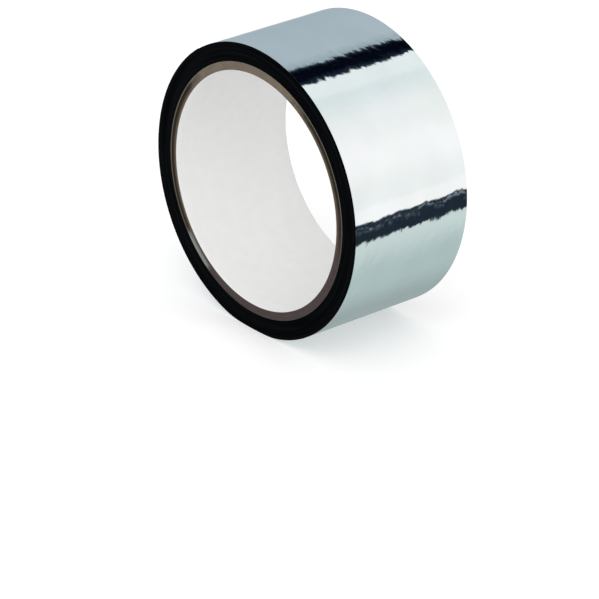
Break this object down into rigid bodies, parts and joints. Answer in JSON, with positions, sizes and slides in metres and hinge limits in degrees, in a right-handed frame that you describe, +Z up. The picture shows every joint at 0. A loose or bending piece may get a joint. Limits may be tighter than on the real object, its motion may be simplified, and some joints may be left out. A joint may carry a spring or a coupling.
{
  "type": "duct tape roll",
  "caption": "Roll of mirror-bright metal duct tape wound on a paper core, standing on its rim, with a free end that peels off the roll and uncurls.",
  "frame": {"origin": "middle of the core's bore, halfway between the two side faces", "axes": "+Y along the bore, from the front side face to the back one; +Z up, away from the flat on which the roll stands; +X to the right seen from the front"},
  "size_m": [0.095, 0.045, 0.0944],
  "materials": {
    "liner_paper": "smooth uncoated paper",
    "core_board": "cut edge of grey-brown board",
    "ply_paper": "cut edge of pale paper",
    "tape_edge": "slit edge of dark adhesive tape, satin",
    "bright_metal": "mirror-bright metal film, slightly wavy"
  },
  "bodies": {
    "roll": {"core_inner_liner": "liner_paper", "core_board_1": "core_board", "core_board_2": "core_board", "core_board_3": "core_board", "core_outer_ply": "ply_paper", "tape_winding": "tape_edge", "outer_turn": "bright_metal"},
    "free_end_1": {"free_end_1": "bright_metal"},
    "free_end_2": {"free_end_2": "bright_metal"},
    "free_end_3": {"free_end_3": "bright_metal"},
    "free_end_4": {"free_end_4": "bright_metal"},
    "free_end_5": {"free_end_5": "bright_metal"}
  },
  "joints": [
    {"name": "peel", "type": "hinge", "parent": "roll", "child": "free_end_1", "pos_m": [-0.04721, 0, -0.00522], "axis": [0, -1, 0], "range_deg": [0, 100]},
    {"name": "straighten_2", "type": "hinge", "parent": "free_end_1", "child": "free_end_2", "pos_m": [-0.04726, 0, 0.00478], "axis": [0, -1, 0], "range_deg": [0, 5.01]},
    {"name": "straighten_3", "type": "hinge", "parent": "free_end_2", "child": "free_end_3", "pos_m": [-0.04522, 0, 0.01456], "axis": [0, -1, 0], "range_deg": [0, 5.01]},
    {"name": "straighten_4", "type": "hinge", "parent": "free_end_3", "child": "free_end_4", "pos_m": [-0.04118, 0, 0.02371], "axis": [0, -1, 0], "range_deg": [0, 5.01]},
    {"name": "straighten_5", "type": "hinge", "parent": "free_end_4", "child": "free_end_5", "pos_m": [-0.03532, 0, 0.0318], "axis": [0, -1, 0], "range_deg": [0, 5.01]}
  ],
  "couplings": [
    {"joint": "straighten_2", "follows": "peel", "ratio": 0.05},
    {"joint": "straighten_3", "follows": "peel", "ratio": 0.05},
    {"joint": "straighten_4", "follows": "peel", "ratio": 0.05},
    {"joint": "straighten_5", "follows": "peel", "ratio": 0.05}
  ]
}
